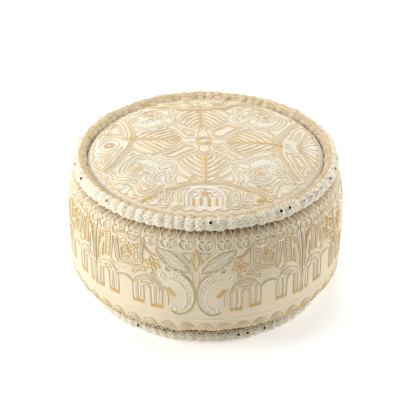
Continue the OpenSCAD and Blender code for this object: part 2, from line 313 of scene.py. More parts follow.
# %% Make the side band
def on_ring(ring, radius, angle):
    return (ring[0] + radius * cos(radians(angle)), ring[1] + radius * sin(radians(angle)))


foot = (low_ring[0] + 3, low_ring[1] + roll_r + 1)
shoulder = (top_ring[0] + 3, top_ring[1] - roll_r - 1.5)


def barrel(t):
    """The side's outline: square at the foot, rounder at the shoulder."""
    end, power = (shoulder[0], 2.6) if t > 0.5 else (foot[0], 7)
    return (end + (body_r - end) * sqrt(max(0, 1 - abs(2 * t - 1) ** power)),
            foot[1] + (shoulder[1] - foot[1]) * t)


heights = [0.5 - 0.46 * cos(radians(180 * i / 30)) for i in range(31)]
band_outline = [(low_ring[0] - roll_r - 8, low_ring[1] + 0.6), (low_ring[0] - roll_r - 1, low_ring[1] + 0.8)]
band_outline += [on_ring(low_ring, roll_r + 0.8, a) for a in range(160, 75, -14)]
band_outline += [barrel(t) for t in heights]
band_outline += [on_ring(top_ring, roll_r + 0.8, a) for a in range(280, 215, -13)]
band_outline += [(seat_r - 2, top_ring[1] - 6.4), (seat_r - 8, top_ring[1] - 6.4)]
band = revolve("cover_band", band_outline, steps, sideways)
place = read(band.data)
step_no = step_of(place, steps)
low_edge = place[:, 2] < barrel(0.045)[1] * MM
high_edge = place[:, 2] > barrel(0.955)[1] * MM
near_low = (np.abs(place[:, 2] - barrel(0.075)[1] * MM) < 5 * MM) & (step_no % 6 == 0)
near_high = (np.abs(place[:, 2] - barrel(0.925)[1] * MM) < 5 * MM) & (step_no % 6 == 3)
crumple(band, low_edge | high_edge | near_low | near_high, 0.03, 1.5, 18, 1.6, 0.8)
swell(band, 90, 1.3, 7.7, lambda p: np.clip(np.minimum(p[:, 2] - 0.02, 0.27 - p[:, 2]) / 0.04, 0, 1))

# Above the lower roll the band is drawn in and lifted, unevenly, and least at the side seam
points = read(band.data)
low_part = np.exp(-((points[:, 2] / MM - barrel(0.05)[1]) / 8) ** 2)
at_seam = np.exp(-((np.arctan2(points[:, 1], points[:, 0]) - pi / 2) / 0.07) ** 2)
low_part *= 1 - 0.9 * at_seam
lip = np.array([noise.noise(Vector((p.x * 22, p.y * 22, 1.0))) + 0.25 for p in map(Vector, points)])
shift = (-0.9 - low_part * (6 - 7 * lip)) * MM
points[:, :2] *= (1 + shift / np.hypot(points[:, 0], points[:, 1]))[:, None]
points[:, 2] += low_part * (5 - 4 * lip) * MM
write(band.data, points)
lay_uv(band, lambda x, y, z, turn: (turn * body_r * MM, z))
refine(band)
print("band:", len(band.data.vertices), "points")


# %% Make the layers inside the band
def inside_band(depth):
    """The band's outline some way in, drawn in at the foot as the band is."""
    run = [barrel(0.92 - 0.81 * i / 24) for i in range(25)]
    return [(r - depth - 12 * exp(-((z - barrel(0.05)[1]) / 15) ** 2), z) for r, z in run]


bag_path = [(202, 270), (202, 264), (top_ring[0] - 6, top_ring[1] - roll_r - 9)]
bag_path += inside_band(3.2) + [(217, 26), (201.5, 20)]
bag = revolve("bag_side", bag_path + [(r - 0.8, z) for r, z in reversed(bag_path)], 160,
              sideways, closed=True)
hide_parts("liner_side")
wrap_path = inside_band(4.6)
wrap_path += [(214, 32), (core_side + 1, 32), (core_side + 1, wrap_path[0][1])]
wrap = revolve("wadding_side", wrap_path, 120, sideways, closed=True)
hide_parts("side_wadding_wrap")

# %% [markdown]
# ## The two rolls
# Each roll is a sewn tube of white cotton, stuffed with wadding and tied every 18 mm, so it
# reads as a crumpled, pinched rope. A spun circle is pulled in at each tie, given a lot of
# slack, and left to the simulation. The lower roll carries the weight and is flat below.

# %% Make the rolls
def make_roll(name, ring, seed, floor):
    round_steps = ties * 4
    outline = [on_ring(ring, roll_r + 0.8, 360 * i / 18) for i in range(18)]
    outline = [(r, max(z, floor)) for r, z in outline]
    roll = revolve(name, outline, round_steps, from_ring(ring), closed=True)
    points = read(roll.data)
    number = step_of(points, round_steps)
    turn = np.arctan2(points[:, 1], points[:, 0])
    middle = np.column_stack([np.cos(turn) * ring[0] * MM, np.sin(turn) * ring[0] * MM,
                              np.full(len(points), ring[1] * MM)])
    tied = number % 4 == 0
    pull = np.ones(len(points))
    for i in np.flatnonzero(tied):
        pull[i] = 0.76 + 0.14 * noise.noise(Vector((number[i] * 0.7, seed, 0)))
    points = middle + (points - middle) * pull[:, None]
    write(roll.data, points)
    sewn = np.hypot(points[:, 0], points[:, 1]) < (ring[0] - roll_r * 0.72) * MM
    crumple(roll, tied | sewn, 0.16, 3.0, 22, 2.4, 2.2, stiff=12.0, bend=0.2)
    swell(roll, 17, 3.2, seed)
    swell(roll, 7, 1.7, seed + 3)
    points = read(roll.data)
    wander = np.array([noise.noise(Vector((cos(a) * 5 + seed, sin(a) * 5, 2.0))) for a in turn])
    points[:, 2] += wander * (1.1 if floor < 0 else 0.3) * MM
    points[:, 2] = np.maximum(points[:, 2], max(floor, 0.2) * MM)
    write(roll.data, points)
    lay_uv(roll, lambda x, y, z, t: (t * ring[0] * MM, z + (hypot(x, y) - ring[0] * MM) * 0.7))
    refine(roll)
    print(name, len(roll.data.vertices), "points")
    return roll


top_roll = make_roll("roll_top", top_ring, 1.3, -1)
low_roll = make_roll("roll_bottom", low_ring, 5.9, 0.3)


# %% Fill the rolls
def make_filling(name, ring, seed, node):
    """The rope of wadding inside a roll, which stays clear of the crumpled cover."""
    filling = revolve(name, [on_ring(ring, 7.2, 36 * i) for i in range(10)], ties * 3,
                      from_ring(ring), closed=True)
    swell(filling, 9, 1.5, seed)
    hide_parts(node)
    return filling


top_filling = make_filling("wadding_top", top_ring, 2.2, "top_roll_wadding")
low_filling = make_filling("wadding_bottom", low_ring, 4.4, "bottom_roll_wadding")

# %% [markdown]
# ## Finding the surface
# A stitch lies on the cloth, so each motif is drawn flat in millimetres and dropped on to the
# finished surface with a ray: from above for the seat, from outside for the band, and
# towards the middle of the tube for a roll.

# %% Rays on to the cloth
def tree_of(piece):
    bm = bmesh.new()
    bm.from_mesh(piece.data)
    tree = BVHTree.FromBMesh(bm)
    bm.free()
    return tree


seat_tree, band_tree = tree_of(seat), tree_of(band)
top_tree, low_tree = tree_of(top_roll), tree_of(low_roll)
cell = 430.0        # width of one of the band's four repeats
cell_turn = radians(-3.7)


def hit(tree, start, direction, lift):
    point, normal, _, _ = tree.ray_cast(start, direction)
    return None if point is None else point - direction * (lift * MM)


def on_seat(x, y, lift=0.3):
    return hit(seat_tree, Vector((x * MM, y * MM, 0.45)), Vector((0, 0, -1)), lift)


def on_band(u, z, lift=0.55):
    turn = u / cell * pi / 2 + cell_turn
    out = Vector((sin(turn), -cos(turn), 0))
    return hit(band_tree, out * 0.4 + Vector((0, 0, z * MM)), -out, lift)


def on_roll(tree, ring):
    def drop(u, angle, lift=0.3):
        turn = radians(u)
        out = Vector((sin(turn), -cos(turn), 0))
        tilt = out * cos(radians(angle)) + Vector((0, 0, sin(radians(angle))))
        middle = out * (ring[0] * MM) + Vector((0, 0, ring[1] * MM))
        return hit(tree, middle + tilt * 0.03, -tilt, lift)
    return drop


on_top, on_low = on_roll(top_tree, top_ring), on_roll(low_tree, low_ring)

# %% [markdown]
# ## Drawing with thread
# A chain stitch line is a row of small links. Each motif is a few given points joined by
# a smooth curve, which is cut into even steps, three to a link, with a thicker bead at the
# middle of each link. An echo is the same line again, a needle's width to one side.

# %% Lines, echoes and leaves
spools = {}
drawn = {"seat": [], "side": []}


def smooth(points, closed=False, step=1.5):
    """An even run of points on a smooth curve through the given ones."""
    p = np.array(points, float)
    q = np.vstack([p[-1], p, p[:2]]) if closed else np.vstack([2 * p[0] - p[1], p, 2 * p[-1] - p[-2]])
    t = np.linspace(0, 1, 9)[:-1, None]
    parts = [0.5 * (2 * b + (c - a) * t + (2 * a - 5 * b + 4 * c - d) * t**2 + (3 * b - a - 3 * c + d) * t**3)
             for a, b, c, d in zip(q, q[1:], q[2:], q[3:])]
    return even(np.vstack(parts + [q[-2][None]]), step)


def even(run, step):
    run = np.asarray(run, float)
    along = np.concatenate([[0], np.cumsum(np.hypot(*np.diff(run, axis=0).T))])
    s = np.linspace(0, along[-1], max(2, int(round(along[-1] / step)) + 1))
    return np.column_stack([np.interp(s, along, run[:, 0]), np.interp(s, along, run[:, 1])])


def echo(run, gap):
    """The same run, moved to its left by a gap in mm."""
    d = np.gradient(run, axis=0)
    d /= np.maximum(np.hypot(d[:, 0], d[:, 1]), 1e-6)[:, None]
    return run + gap * np.column_stack([-d[:, 1], d[:, 0]])


def polar(x, y, r, a):
    return x + r * cos(a), y + r * sin(a)


def circle(x, y, r, count=10):
    return smooth([polar(x, y, r, 2 * pi * i / count) for i in range(count)], True)


def arc(x, y, wide, tall, degrees):
    return smooth([(x + wide * cos(radians(a)), y + tall * sin(radians(a))) for a in degrees])


def leaf(base, tip, width, lean=0.0):
    """A pointed leaf from base to tip; lean moves its belly towards the tip."""
    (x0, y0), (x1, y1) = base, tip
    dx, dy = x1 - x0, y1 - y0
    sx, sy = -dy / hypot(dx, dy) * width / 2, dx / hypot(dx, dy) * width / 2
    side = [(0.12, 0.55), (0.35 + lean, 1.0), (0.65 + lean, 0.9), (0.88, 0.45)]
    there = [(x0 + dx * s + sx * w, y0 + dy * s + sy * w) for s, w in side]
    back = [(x0 + dx * s - sx * w, y0 + dy * s - sy * w) for s, w in reversed(side)]
    return smooth([base] + there + [tip] + back, True)


def satin(points, width, gap=1.15):
    """Side-by-side short threads that fill a stroke."""
    run = smooth(points, step=gap)
    return [np.array([a, (a + b) / 2, b]) for a, b in zip(echo(run, width / 2), echo(run, -width / 2))]


def petals(x, y, inner, outer, count, turn=0.0, fat=0.5):
    """Looped petals round a middle point."""
    runs = []
    for i in range(count):
        a = radians(turn + 360 * i / count)
        runs.append(leaf(polar(x, y, inner, a), polar(x, y, outer, a), (outer - inner) * fat))
    return runs


def sew(cloth, drop, colour, *runs, satin_thread=False):
    """Lays runs on a cloth, and keeps them for that cloth's spool of that colour."""
    for run in runs:
        line = [drop(a, b) for a, b in run]
        if all(p is not None for p in line) and len(line) > 1:
            spools.setdefault((cloth, colour, satin_thread), []).append(line)


def fill(sew_on, colour, points, width):
    """Covers a stroke with satin stitch."""
    sew_on(colour, *satin(points, width), satin_thread=True)


def report(cloth):
    count = sum(len(line) for key, runs in spools.items() if key[0] == cloth for line in runs)
    print(f"{cloth}: {count} stitch points")


# %% [markdown]
# ## Embroidery of the side band
# Four wide repeats go round the band, each mirrored about its middle, so a motif is drawn
# once and sewn eight times. Two elephants face each other trunk to trunk under a row of
# heart leaves, on plain ground, with a tree behind each of them and arches along the foot.

# %% Repeat a motif round the band
def sew_side(colour, *runs, satin_thread=False):
    for run in runs:
        drawn["side"].append(run)
        for k in range(4):
            for way in (1, -1):
                sew("side", on_band, colour,
                    np.column_stack([way * run[:, 0] + k * cell, run[:, 1]]), satin_thread=satin_thread)


def seeds(shape, spacing, length=2.6):
    """Short white stitches scattered evenly inside a closed run."""
    low, high = shape.min(0), shape.max(0)
    found, row = [], 0
    y = low[1] + spacing / 2
    while y < high[1]:
        x = low[0] + spacing * (0.5 if row % 2 else 1.0)
        while x < high[0]:
            a, b = shape, np.roll(shape, -1, axis=0)
            crosses = ((a[:, 1] > y) != (b[:, 1] > y))
            reach_x = a[:, 0] + (y - a[:, 1]) / np.where(crosses, b[:, 1] - a[:, 1], 1) * (b[:, 0] - a[:, 0])
            if (crosses & (reach_x > x)).sum() % 2 and np.hypot(*(shape - (x, y)).T).min() > 2.4:
                tilt = radians(60 * sin(x * 1.7 + y))
                found.append(np.array([(x, y), (x + length * cos(tilt), y + length * sin(tilt))]))
            x += spacing
        y += spacing * 0.85
        row += 1
    return found


def ladder(left, right, gap):
    """Rungs between two runs."""
    a, b = even(left, gap), even(right, gap)
    n = min(len(a), len(b))
    i, j = np.linspace(0, len(a) - 1, n).astype(int), np.linspace(0, len(b) - 1, n).astype(int)
    return [even(np.array([p * 0.88 + q * 0.12, q * 0.88 + p * 0.12]), 1.5) for p, q in zip(a[i], b[j])]


# %% The elephant: ear, trunk and tusk
ear = leaf((12, 186), (76, 227), 27, 0.05)
sew_side("khaki", ear, echo(ear, -2.6))
sew_side("white", echo(ear, 2.8), smooth([(14, 187), (44, 208), (72, 225)]))
sew_side("white", *seeds(echo(ear, 3.5), 4.6))
bud = leaf((0, 188), (0, 232), 13)
sew_side("mustard", echo(bud[: len(bud) // 2], -0.5))
sew_side("khaki", smooth([(3.5, 196), (5, 209), (2.5, 222)]))
trunk = smooth([(46, 178), (31, 172), (18, 159), (11, 139), (12, 117), (20, 102), (32, 96), (43, 101)])
share = np.linspace(0, 1, len(trunk))
front_edge = trunk + (echo(trunk, 1) - trunk) * (-(10.5 - 5.5 * share))[:, None]
back_edge = trunk + (echo(trunk, 1) - trunk) * (10.5 - 5.5 * share)[:, None]
sew_side("khaki", front_edge, echo(front_edge, -2.4))
sew_side("white", back_edge, echo(front_edge, 2.4))
sew_side("white", *ladder(front_edge[3:-3], back_edge[3:-3], 5))
sew_side("white", circle(43, 103, 5, 7))
fill(sew_side, "mustard", [(53, 146), (47, 138), (40, 130)], 6.5)
sew_side("khaki", smooth([(7, 184), (5, 160), (4, 136), (5, 116), (8, 100)]))
sew_side("khaki", circle(50, 190, 5.5, 8), circle(50, 190, 2.4, 6))
sew_side("white", circle(50, 190, 8, 10))
print("head:", sum(len(v) for v in spools.values()), "runs so far")

# %% The elephant: flower, legs and belly
sew_side("mustard", *petals(82, 193, 3, 16, 6, 15, 0.55))
sew_side("mustard", circle(82, 193, 2.5, 6))
sew_side("khaki", circle(80, 170, 4, 7), smooth([(82, 178), (86, 170), (80, 162)]))
leg_sides = [(64, 86, 142, 100), (101, 123, 142, 103), (157, 179, 144, 103), (197, 213, 146, 101)]
for near, far, top, toe in leg_sides:
    wide = far - near
    sew_side("khaki", smooth([(near, top), (near - 1, (top + toe) / 2), (near, toe - 3)]),
             smooth([(far, top), (far + 1, (top + toe) / 2), (far, toe - 3)]))
    for part in (0.28, 0.5, 0.72):
        x = near + wide * part
        sew_side("white" if part != 0.5 else "khaki",
                 smooth([(x, top + 4), (x + 1, (top + toe) / 2), (x, toe + 3)]))
    fill(sew_side, "mustard", [(near + 1, toe), (near + wide / 2, toe + 0.5), (far - 1, toe)], 6.5)
for x0, x1, low, high in [(86, 101, 104, 145), (179, 197, 106, 148), (52, 64, 108, 146)]:
    arch = smooth([(x0, low), (x0 + 1, high - 10), ((x0 + x1) / 2, high), (x1 - 1, high - 10), (x1, low)])
    sew_side("khaki", arch)
belly = smooth([(124, 142), (132, 149), (141, 151), (150, 149), (158, 143)])
sew_side("khaki", belly, echo(belly, 3.4))
sew_side("white", echo(belly, 6.8), *seeds(np.vstack([echo(belly, 9), (158, 172), (124, 172)]), 5.2))
haunch = smooth([(64, 141), (70, 155), (82, 164), (96, 166), (110, 160), (123, 145)])
sew_side("khaki", haunch, echo(haunch, -4))
sew_side("white", echo(haunch, 3.6))
rump = smooth([(157, 144), (164, 158), (176, 166), (190, 165), (203, 156), (210, 144)])
sew_side("khaki", rump)
sew_side("white", echo(rump, 3.6), echo(rump, -3.6))

# %% The saddle cloth, the back and the ladder strap
saddle = smooth([(110, 231), (134, 233), (158, 229), (155, 206), (150, 184), (130, 188),
                 (108, 190), (108, 210)], True)
sew_side("khaki", saddle)
sew_side("white", echo(saddle, 2.6))
sew_side("mustard", *petals(133, 210, 2, 14, 5, 90, 0.5))
sew_side("khaki", echo(saddle, 5.4))
for x in range(112, 150, 5):
    sew_side("khaki" if x % 2 else "mustard", smooth([(x, 184), (x + 1, 176)]))
back = smooth([(60, 213), (74, 214), (88, 217), (110, 235), (140, 240), (165, 238), (190, 230),
               (205, 212), (210, 185), (211, 152)])
sew_side("mustard", back)
sew_side("khaki", echo(back, -3.5))
strap_left = smooth([(177, 228), (176, 203), (178, 178)])
strap_right = smooth([(189, 226), (188, 203), (189, 178)])
sew_side("khaki", strap_left, strap_right)
sew_side("mustard", *ladder(strap_left, strap_right, 5.4))
for shift in (5, 10):
    sew_side("khaki" if shift == 5 else "white",
             smooth([(196, 222 - shift), (202, 205 - shift), (204, 185), (204, 160)]))
for lean, top in ((0, 240), (4, 226), (9, 232), (14, 214)):
    sew_side("khaki" if lean in (0, 9) else "white",
             smooth([(215 - lean * 0.5, 95), (215 - lean * 0.55, 130),
                     (215 - lean * 0.8, 170), (215 - lean * 1.2, top)]))

# %% The two borders of the band
pitch = cell / 12
for i in range(6):
    mid = pitch * (i + 0.5)
    for low, high, wide in ((245, 259, 11), (231, 246, 10)):
        for way in (-1, 1):
            lobe = leaf((mid + way * 1.5, low), (mid + way * wide, high), 13, 0.14)
            sew_side("mustard" if high == 259 else "khaki", lobe)
            sew_side("white", echo(lobe, 2.4))
    for r, colour in ((15, "khaki"), (9.5, "mustard"), (4.5, "khaki")):
        sew_side(colour, arc(mid, 50, r, 1.25 * r, range(-15, 196, 30)))
    sew_side("white", arc(mid, 50, 12.2, 15, range(0, 181, 30)))
rail = np.array([(0, 78), (215, 78)])
sew_side("white", even(rail, 1.5))
report("side")

# %% [markdown]
# ## Embroidery of the seat
# A small ringed eye sits at the middle. Four feathered palms run out from it to a frame line
# that makes a D-shaped pocket at each side, and an animal fills each quarter between the
# palms. Each palm is drawn along its own stem, then turned into its direction.

# %% Echo lines that fill the bare cloth
eye_x, eye_y = -3.0, 6.0


def turned(run, angle, x=eye_x, y=eye_y):
    a = radians(angle)
    run = np.asarray(run, float)
    return np.column_stack([x + run[:, 0] * cos(a) - run[:, 1] * sin(a),
                            y + run[:, 0] * sin(a) + run[:, 1] * cos(a)])


def contours(name, middle, half, levels, keep):
    """Echo lines: a grid is lifted by its distance from the stitches, then cut level."""
    taken = np.vstack(drawn[name])
    taken = taken[(np.abs(taken - middle) < np.array(half) + 30).all(1)]
    near = KDTree(len(taken))
    for n, (x, y) in enumerate(taken):
        near.insert((x, y, 0), n)
    near.balance()
    found = []
    for level, colour in levels:
        bm = bmesh.new()
        bmesh.ops.create_grid(bm, x_segments=int(half[0] / 1.3), y_segments=int(half[1] / 1.3), size=1.0)
        for v in bm.verts:
            v.co = (middle[0] + v.co.x * half[0], middle[1] + v.co.y * half[1], 0)
        for v in bm.verts:
            v.co.z = near.find(v.co)[2]
        cut = bmesh.ops.bisect_plane(bm, geom=bm.verts[:] + bm.edges[:] + bm.faces[:], dist=0.001,
                                     plane_co=(0, 0, level), plane_no=(0, 0, 1))
        links = {}
        for edge in (g for g in cut["geom_cut"] if isinstance(g, bmesh.types.BMEdge)):
            a, b = edge.verts
            links.setdefault(a, []).append(b)
            links.setdefault(b, []).append(a)
        while links:
            here = min(links, key=lambda v: (len(links[v]), v.index))
            line = [here]
            while links.get(here):
                there = links[here].pop()
                links[there].remove(here)
                if not links[here]:
                    del links[here]
                here = there
                line.append(here)
            links.pop(here, None)
            run = np.array([(v.co.x, v.co.y) for v in line])
            if len(run) > 12 and keep(run.mean(0), run):
                found.append((colour, even(run, 1.5)))
        bm.free()
    print(name, "echo lines:", len(found))
    return found


for colour, run in contours("side", (107.5, 163), (107.5, 85), ((5.0, "khaki"), (9.5, "white")),
                            lambda c, run: c[1] > 152 or c[0] > 208):
    sew_side(colour, run)

# %% Turn a motif into its place on the seat
def sew_seat(colour, *runs, satin_thread=False):
    drawn["seat"] += runs
    sew("seat", on_seat, colour, *runs, satin_thread=satin_thread)


# %% The eye and the four palms
sew_seat("mustard", circle(eye_x, eye_y, 15, 14), circle(eye_x, eye_y, 12.4, 14))
sew_seat("khaki", circle(eye_x, eye_y, 8.5, 10))
sew_seat("white", circle(eye_x, eye_y, 5, 8), circle(eye_x, eye_y, 2, 6))
fronds = ((54, 66), (48, 61), (41, 55), (33, 47), (24, 38), (15, 28), (8, 18))   # how wide and how far back
corner, wing = radians(30), radians(26)
frame_run = smooth([polar(0, 0, 213, -corner), polar(0, 0, 190, -wing), (161, -57), (151, -28), (149, 0),
                    (151, 28), (161, 57), polar(0, 0, 190, wing), polar(0, 0, 213, corner)])
for direction, length in ((-4, 156), (93, 162), (174, 156), (-89, 151)):
    sew_seat("mustard", turned(smooth([(40, 0), (length * 0.5, 1), (length, 0)]), direction),
             turned(smooth([(60, 2.2), (length * 0.6, 2.8), (length, 2)]), direction))
    tuft = leaf((17, 0), (40, 0), 12)
    sew_seat("white", turned(tuft, direction), turned(echo(tuft, -3), direction))
    for i, (wide, back_reach) in enumerate(fronds):
        root = length - 4 - 15 * i
        for way in (1, -1):
            def frond(*places):
                """A curve through (nudge, share of the way back, share of the width) points."""
                return turned(smooth([(root - nudge - back_reach * b, way * wide * w)
                                      for nudge, b, w in places]), direction)

            tip = (0, 1, 0.96)
            sew_seat("mustard" if i in (0, 3, 5) else "khaki",
                     frond((0, 0, 0), (0, 0.18, 0.5), (0, 0.5, 0.9), (0, 0.82, 1.04), tip))
            sew_seat("khaki", frond((6, 0, 1 / wide), (4, 0.34, 0.36), (3, 0.7, 0.7), tip))
            if i < 5:
                sew_seat("white", frond((4, 0.3, 0.5), (3, 0.6, 0.8), (2, 0.85, 0.93)))
    sew_seat("mustard", turned(frame_run, direction, 0, 0))
    sew_seat("khaki", turned(echo(frame_run, 3.6), direction, 0, 0))
    sew_seat("white", turned(echo(frame_run, -3.6), direction, 0, 0))
    sew_seat("khaki", turned(echo(frame_run, 8), direction, 0, 0))

# %% The animals in the four quarters
animal = smooth([(-50, -34), (-54, -6), (-47, 16), (-26, 28), (0, 26), (18, 32), (32, 27), (39, 12),
                 (42, -6), (48, -22), (56, -28), (50, -34), (38, -26), (33, -12), (26, -6), (22, -20),
                 (21, -34), (10, -34), (8, -16), (0, -10), (-20, -10), (-28, -16), (-30, -34), (-42, -34)],
                True)
ear_loop = smooth([(16, 26), (4, 14), (10, 0), (20, 8), (23, 20)], True)
animal_runs = [(animal, "khaki"), (echo(animal, 3.4), "white"), (echo(animal, -3.4), "white"),
               (ear_loop, "khaki"), (echo(ear_loop, 2.6), "white"), (circle(30, 16, 2.6, 6), "mustard"),
               (echo(animal, -7), "khaki"), *[(dash, "white") for dash in seeds(echo(animal, 5), 5.5)]]
for angle, middle, flip in ((-135, (-95, -92), 1), (-45, (92, -92), -1),
                            (45, (96, 98), 1), (135, (-96, 100), -1)):
    for run, colour in animal_runs:
        sew_seat(colour, turned(run * np.array([flip, 1.0]), angle + 90 + flip * 14, *middle))
for x, y in ((-128, -94), (101, -113), (109, 131), (-110, 125)):
    sew_seat("mustard", *petals(x, y, 3, 17, 6, 20, 0.5), circle(x, y, 3, 6))
    fill(sew_seat, "mustard", [(x - 3, y + 2), (x + 4, y + 3)], 6)
    sew_seat("khaki", circle(x, y, 20, 12))
for angle in (-135, -45, 45, 135):
    for spread in (-9, -3, 3, 9):
        far = smooth([(200 + abs(spread), spread * 1.6), (212, spread * 2.2), (221, spread * 3.2)])
        sew_seat("white", turned(far, angle, 0, 0))

# %% What fills the four pockets
for x in (-22, -8, 7, 21):
    fill(sew_seat, "mustard", [(x, -189), (x, -208)], 5)
sew_seat("khaki", smooth([(-30, -208), (-30, -180), (-16, -166), (14, -166), (30, -180), (31, -208)]))
sew_seat("white", smooth([(-34, -208), (-34, -178), (-18, -162), (16, -162), (34, -178), (35, -208)]),
         smooth([(-15, -206), (-15, -188)]), smooth([(0, -206), (0, -188)]), smooth([(14, -206), (14, -188)]))
sew_seat("mustard", *petals(-1, -177, 2, 11, 5, 90, 0.5))
for x, y in ((-58, -180), (-80, -176), (56, -184), (78, -182)):
    for r in (14, 10, 6):
        sew_seat("khaki" if r != 10 else "white",
                 smooth([(x + r * a, y + r * b) for a, b in
                         ((-0.6, -1), (-0.5, 0.8), (0, 1.3), (0.5, 0.8), (0.6, -1))]))
for x, y in ((-109, -183), (103, -187)):
    fill(sew_seat, "mustard", [(x - 8, y - 4), (x, y), (x + 9, y + 5)], 8)
for angle in range(-20, 21, 5):
    a = radians(angle)
    sew_seat("khaki" if angle % 2 else "mustard",
             smooth([(171 + 8 * cos(a), 22 * sin(a) - 4), (195, 90 * sin(a) - 4), polar(0, 0, 222, a)]))
for r in (12, 18, 24):
    sew_seat("white", arc(158, -4, r, r, range(-80, 81, 32)))
for r, colour in ((5, "mustard"), (10, "khaki"), (15, "white"), (20, "khaki"), (25, "white")):
    sew_seat(colour, circle(-189, 6, r, 12))
sew_seat("mustard", *petals(-189, 6, 4, 12, 6, 0, 0.5))
for side in (-1, 1):
    for i in range(5):
        sew_seat("khaki" if i % 2 else "white",
                 smooth([(side * 4, 178 + i * 3), (side * (18 + 9 * i), 190 + i),
                         (side * (26 + 12 * i), 203 - i * 2)]))
rim_scallops = 60
for i in range(rim_scallops):
    start = 2 * pi * i / rim_scallops
    scallop = [polar(0, 0, 217 + 4.5 * sin(pi * k / 5), start + 2 * pi / rim_scallops * k / 5)
               for k in range(6)]
    sew_seat("khaki" if i % 3 else "mustard", smooth(scallop))
seat_levels = ((4.6, "khaki"), (8.6, "white"), (12.6, "khaki"), (17, "mustard"))
for colour, run in contours("seat", (0, 0), (212, 212), seat_levels,
                            lambda c, run: np.hypot(*run.T).max() < 219):
    sew_seat(colour, run)
report("seat")

# %% [markdown]
# ## Stitch rows, ties and mirrors on the rolls
# White rows of stitches wander along each roll and almost cover it, and a thread is tied
# over it every 18 mm. The inner edge of the top roll has a scalloped line in khaki and
# mustard. Little round mirrors are held by a ring of thread, most of them at the right.

# %% Sew the rolls
def roll_rows(cloth, drop, colour, angles, wave, seed):
    """Scalloped rows along a roll: small arches with an uneven beat."""
    for n, angle in enumerate(angles):
        run, u = [], 0.0
        while u < 360:
            beat = 2.2 + 0.9 * noise.noise(Vector((u * 0.5, n * 3.3, seed)))
            up = wave * (0.8 + 0.6 * noise.noise(Vector((u * 0.9, n * 1.7, seed + 4))))
            base = angle + 7 * noise.noise(Vector((u * 0.12, n * 2.1, seed + 8)))
            run += [(u + beat * k / 6, base + up * sin(pi * k / 6)) for k in range(6)]
            u += beat
        sew(cloth, drop, colour, np.array(run))


roll_rows("top_rows", on_top, "white", (-40, -22, -4, 14, 32, 50, 68), 16, 0.4)
roll_rows("top_rows", on_top, "khaki", (86, 122), 9, 1.4)
roll_rows("top_rows", on_top, "mustard", (104,), 9, 2.4)
roll_rows("low_rows", on_low, "white", (-40, -20, 0, 20, 40), 16, 2.2)
for i in range(ties):
    u = 360 / ties * i
    sew("top_ties", on_top, "white", np.array([(u, a) for a in range(-58, 150, 9)]))
    sew("low_ties", on_low, "white", np.array([(u, a) for a in range(-42, 60, 9)]))
    if i % 2:
        scallop = np.array([(u + 360 / ties * k / 8, 138 + 7 * sin(pi * k / 8)) for k in range(9)])
        sew("top_rows", on_top, "mustard", scallop)

# %% Wind each spool into pieces
def wind(name, runs, thick, beads):
    """Threads as bevelled curves, joined into one mesh."""
    curve = bpy.data.curves.new(name, "CURVE")
    curve.dimensions = "3D"
    curve.bevel_depth = thick * MM
    curve.bevel_resolution = 1
    curve.use_fill_caps = True
    for line in runs:
        spline = curve.splines.new("POLY")
        spline.points.add(len(line) - 1)
        spline.points.foreach_set("co", [c for p in line for c in (p.x, p.y, p.z, 1.0)])
        if beads:
            spline.points.foreach_set("radius", [(1.08, 0.94, 0.74)[i % 3] for i in range(len(line))])
    thread = add_object(name, curve)
    mesh = finished_mesh(thread)
    bpy.data.objects.remove(thread)
    mesh.name = name
    mesh.shade_smooth()
    return add_object(name, mesh)


stands_for = {"seat": "seat_embroidery", "side": "side_embroidery", "top_rows": "top_roll_ties", "top_ties": "top_roll_ties",
              "low_rows": "bottom_roll_ties", "low_ties": "bottom_roll_ties"}
thread_pieces = []
for (cloth_name, colour, is_satin), runs in spools.items():
    thick = 0.62 if is_satin else {"khaki": 0.82, "mustard": 0.86, "white": 0.95}[colour]
    thick = 0.45 if "ties" in cloth_name else thick
    batch, size, number = [], 0, 1
    for run in runs + [None]:
        if run is None or size + len(run) > 14000:
            if batch:
                label = f"{cloth_name}_{colour}{'_satin' if is_satin else ''}_{number}"
                piece = wind(label, batch, thick, not is_satin)
                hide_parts(stands_for[cloth_name])
                thread_pieces.append((piece, colour))
                number += 1
            batch, size = [], 0
        if run is not None:
            batch.append(run)
            size += len(run)
print("thread pieces:", len(thread_pieces), "points:", sum(len(p.data.vertices) for p, _ in thread_pieces))

# %% Set the mirrors
def set_mirrors(name, drop, places, tilt, node):
    bm = bmesh.new()
    rings = []
    for k in places:
        u = 90 + 360 / ties * (k + 0.5)
        face = drop(u, tilt, 0.9)
        back = drop(u, tilt, -1.0)
        out = (face - back).normalized()
        frame_turn = out.to_track_quat("Z", "Y").to_matrix().to_4x4()
        frame_turn.translation = face
        bmesh.ops.create_cone(bm, cap_ends=True, segments=16, radius1=3.4 * MM, radius2=3.1 * MM,
                              depth=0.8 * MM, matrix=frame_turn)
        rings.append([frame_turn @ Vector((*polar(0, 0, 3.6 * MM, 2 * pi * i / 14), 0)) for i in range(15)])
    piece = settle(bm, name)
    for polygon in piece.data.polygons:
        polygon.use_smooth = False
    holder = wind(name + "_rings", rings, 0.6, True)
    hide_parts(node)
    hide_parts(node)
    thread_pieces.append((holder, "white"))
    return piece


top_mirrors = set_mirrors("mirrors_top", on_top,
                          [3, 5, 8, 13, 22, 26, 34, 39, 44, 47, 52, 63, 70, 71, 73, 74, 75, 76, 78, 80, 82], 38, "top_mirrors")
low_mirrors = set_mirrors("mirrors_bottom", on_low, [6, 17, 28, 41, 55, 66, 67, 69, 77], 12, "bottom_mirrors")
print("mirrors:", len(top_mirrors.data.polygons), len(low_mirrors.data.polygons))
